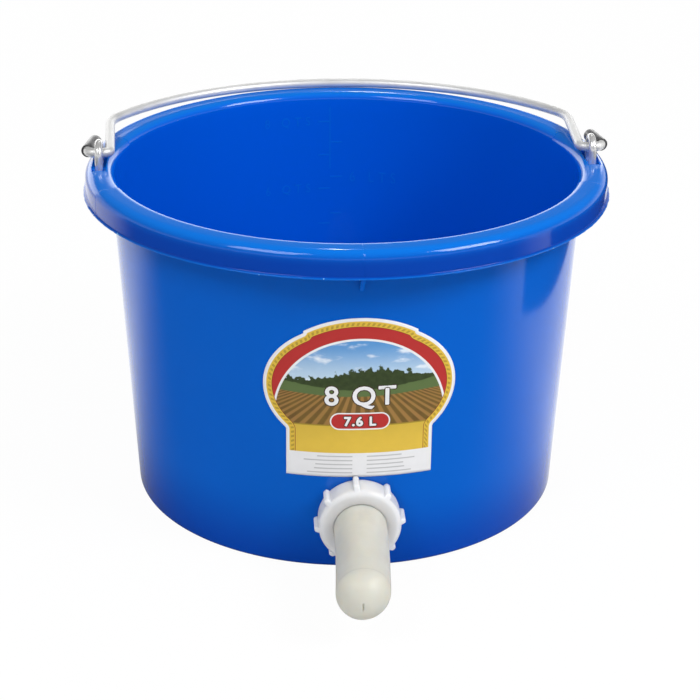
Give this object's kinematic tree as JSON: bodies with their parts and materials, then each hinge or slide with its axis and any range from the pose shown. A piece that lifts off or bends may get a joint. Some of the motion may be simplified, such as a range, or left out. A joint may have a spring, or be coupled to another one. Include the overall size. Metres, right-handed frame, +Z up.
{
  "type": "calf feeder bucket",
  "caption": "Round tapered plastic pail with a rolled rim, a swinging wire bail in staple eyes, and a lugged nut low on the wall that holds a rubber nipple for feeding a calf.",
  "frame": {"origin": "centre of the base, on the floor that the pail stands on", "axes": "+Z up along the pail's axis, -Y towards the nipple, X along the line of the bail's pins"},
  "size_m": [0.286, 0.3477, 0.1992],
  "materials": {
    "pail_plastic": "satin moulded polyethylene",
    "steel_wire": "zinc plated wire",
    "sleeve_plastic": "glossy black tube",
    "fitting_plastic": "natural white nylon, slightly translucent",
    "gasket_rubber": "matt black",
    "valve_rubber": "matt",
    "nipple_rubber": "satin cream latex",
    "label_film": "printed film with a satin face"
  },
  "bodies": {
    "pail": {"pail_body": "pail_plastic", "left_eye": "steel_wire", "right_eye": "steel_wire", "spigot": "fitting_plastic", "gasket": "gasket_rubber", "valve_cage": "fitting_plastic", "nipple_nut": "fitting_plastic", "nipple": "nipple_rubber", "label": "label_film"},
    "bail": {"bail": "steel_wire", "left_sleeve": "sleeve_plastic", "right_sleeve": "sleeve_plastic"},
    "valve": {"valve_disc": "valve_rubber"}
  },
  "joints": [
    {"name": "bail_swing", "type": "hinge", "parent": "pail", "child": "bail", "pos_m": [0, 0, 0.1919], "axis": [1, 0, 0], "range_deg": [0, 181.9]},
    {"name": "valve_travel", "type": "slide", "parent": "pail", "child": "valve", "axis": [0, -0.9984, -0.0558], "range_m": [-0.004, 0]}
  ]
}
